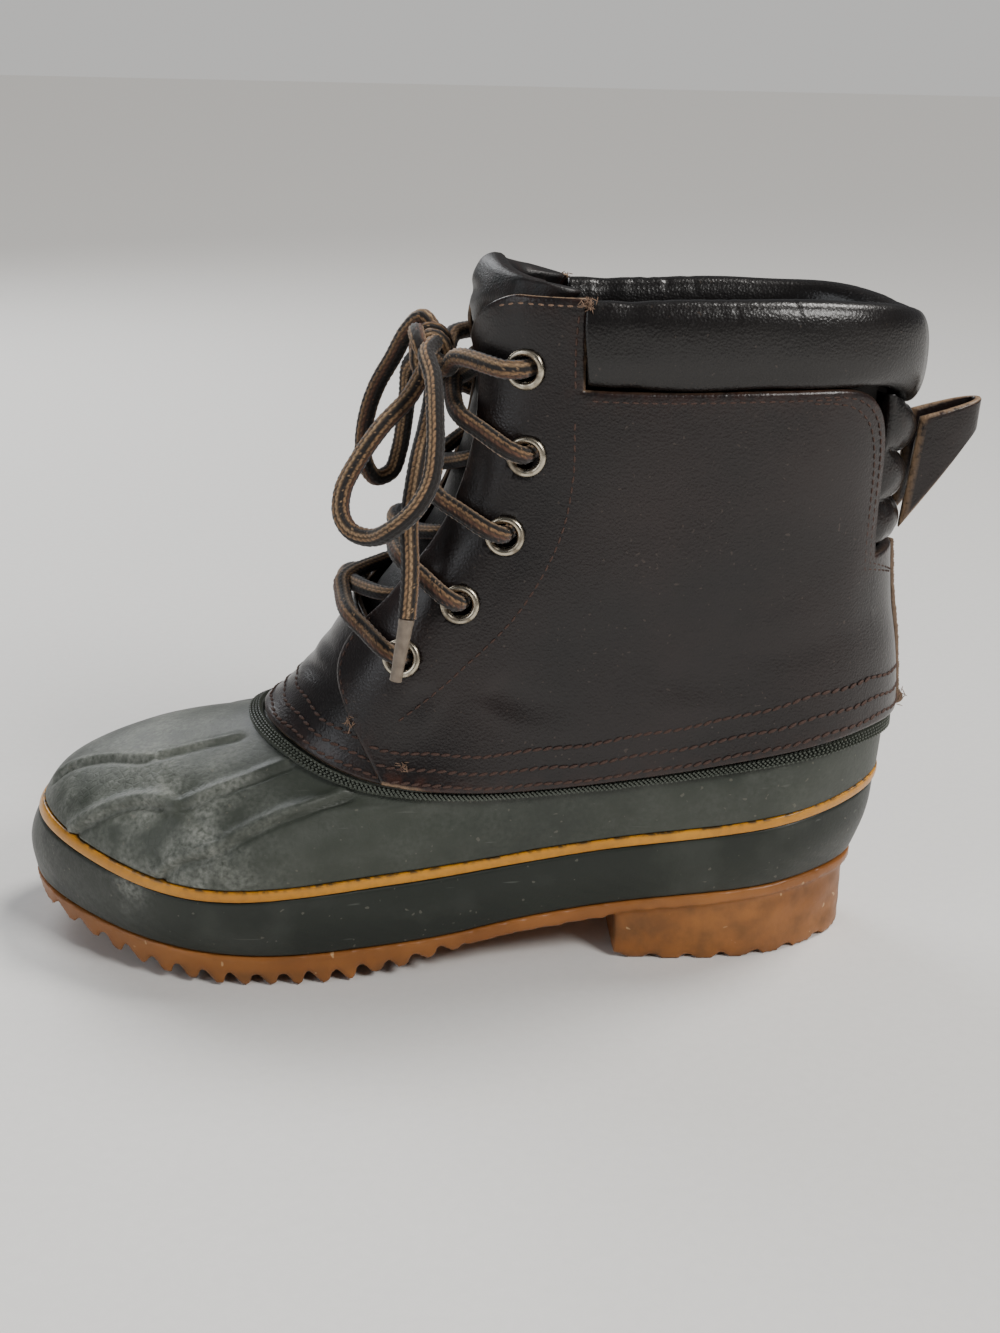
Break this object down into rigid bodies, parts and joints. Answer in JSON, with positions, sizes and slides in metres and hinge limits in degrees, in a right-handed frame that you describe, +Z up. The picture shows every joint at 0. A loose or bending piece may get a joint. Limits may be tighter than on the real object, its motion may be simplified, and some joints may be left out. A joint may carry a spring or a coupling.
{
  "type": "duck boot",
  "caption": "Laced ankle boot with a hollow rubber bottom, toothed gum sole, leather shaft, padded collar and tongue, and a tied round lace.",
  "frame": {"origin": "middle of the heel's tread, on the floor", "axes": "+X towards the toe, +Y to the boot's outer (lateral) side, +Z up"},
  "size_m": [0.2932, 0.1023, 0.2152],
  "materials": {
    "gum_rubber": "satin translucent gum",
    "foxing_rubber": "fine ribbed, satin",
    "amber_rubber": "glossy",
    "dark_rubber": "satin, lightly bloomed",
    "brown_leather": "fine grain, semi gloss",
    "collar_leather": "soft glossy padded",
    "raw_leather": "raw edge",
    "felt": "matt",
    "eyelet_metal": "old plated, bright edge",
    "lace_cord": "round herringbone braid",
    "lace_tip": "crushed tube"
  },
  "bodies": {
    "root": {"outsole": "gum_rubber", "foxing": "foxing_rubber", "rim_band": "foxing_rubber", "stripe": "amber_rubber", "rubber_shell": "dark_rubber", "upper": "brown_leather", "tongue": "brown_leather", "collar": "collar_leather", "back_panel": "collar_leather", "backstay": "raw_leather", "pull_loop": "raw_leather", "insole": "felt", "eyelet_lateral_1": "eyelet_metal", "eyelet_lateral_2": "eyelet_metal", "eyelet_lateral_3": "eyelet_metal", "eyelet_lateral_4": "eyelet_metal", "eyelet_lateral_5": "eyelet_metal", "eyelet_medial_1": "eyelet_metal", "eyelet_medial_2": "eyelet_metal", "eyelet_medial_3": "eyelet_metal", "eyelet_medial_4": "eyelet_metal", "eyelet_medial_5": "eyelet_metal", "lace_cross_1": "lace_cord", "lace_cross_2": "lace_cord", "lace_cross_3": "lace_cord", "lace_cross_4": "lace_cord", "lace_bar": "lace_cord", "lace_knot": "lace_cord", "lace_loop_near": "lace_cord", "lace_loop_far": "lace_cord", "lace_end_near": "lace_cord", "lace_end_far": "lace_cord", "aglet_near": "lace_tip", "aglet_far": "lace_tip"}
  },
  "joints": []
}
